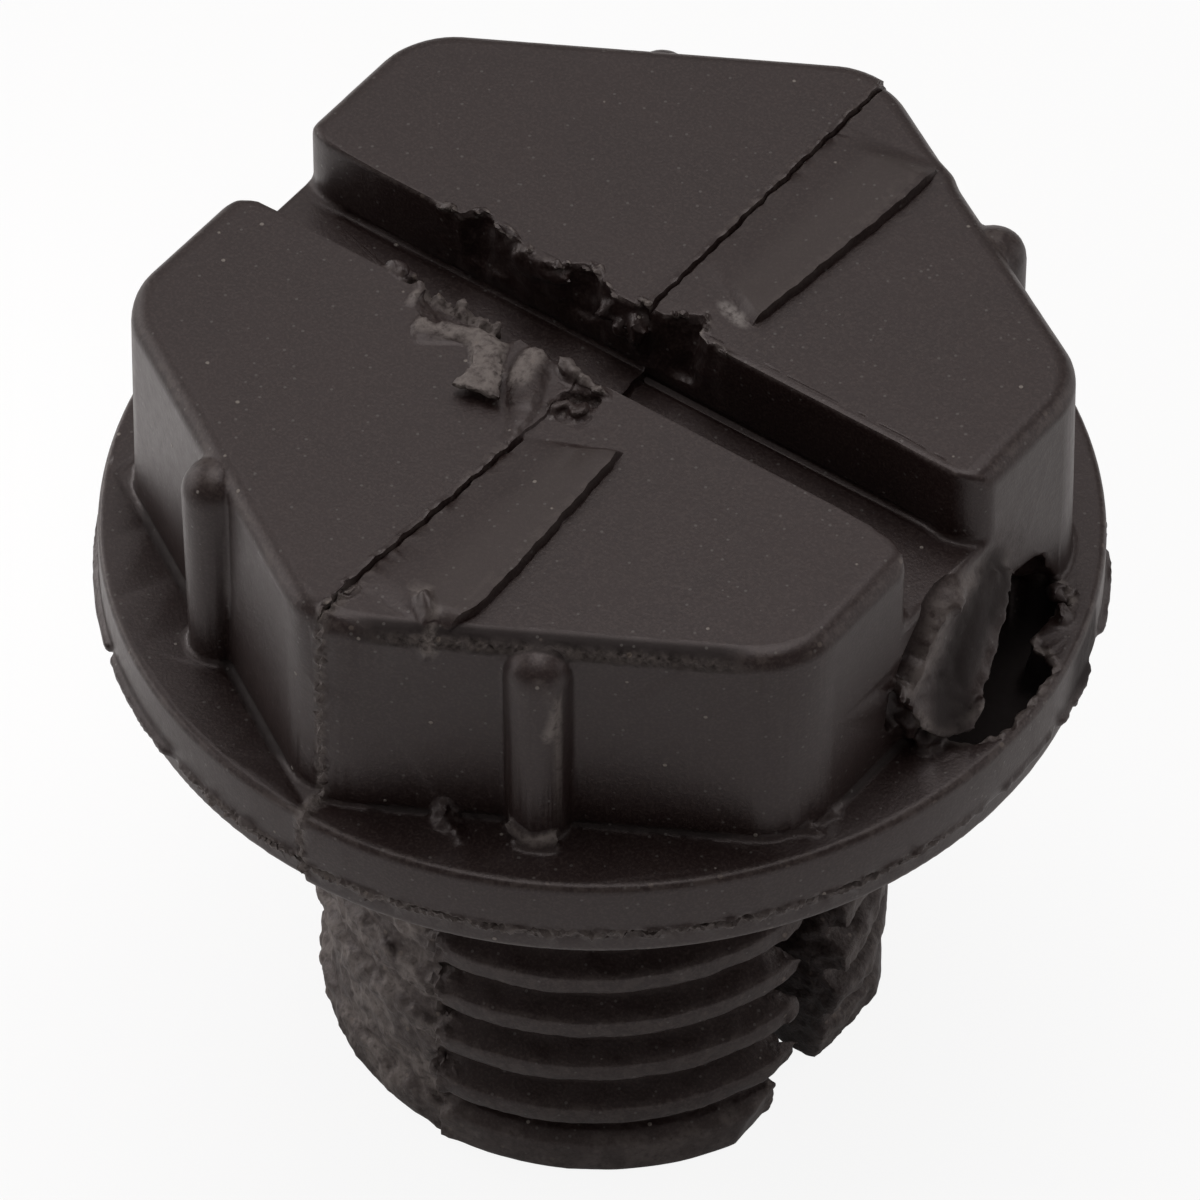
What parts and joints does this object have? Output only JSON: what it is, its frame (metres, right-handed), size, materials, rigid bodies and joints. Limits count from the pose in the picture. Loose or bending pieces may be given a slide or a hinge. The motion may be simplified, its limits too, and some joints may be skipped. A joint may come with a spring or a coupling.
{
  "type": "drain plug",
  "caption": "Moulded plastic drain plug with a slotted hexagon head, a sealing flange and a short threaded stem with a drain notch along it.",
  "frame": {"origin": "middle of the sealing face, the underside of the flange, on the thread's axis", "axes": "+Z along the thread's axis up through the head, +X along the screwdriver slot towards the drain notch, +Y along the mould's parting line"},
  "size_m": [0.023, 0.0232, 0.0211],
  "materials": {
    "black_plastic": "satin black moulded plastic, finely grained, with pale scuffs and dust"
  },
  "bodies": {
    "root": {"drain_plug": "black_plastic"}
  },
  "joints": []
}
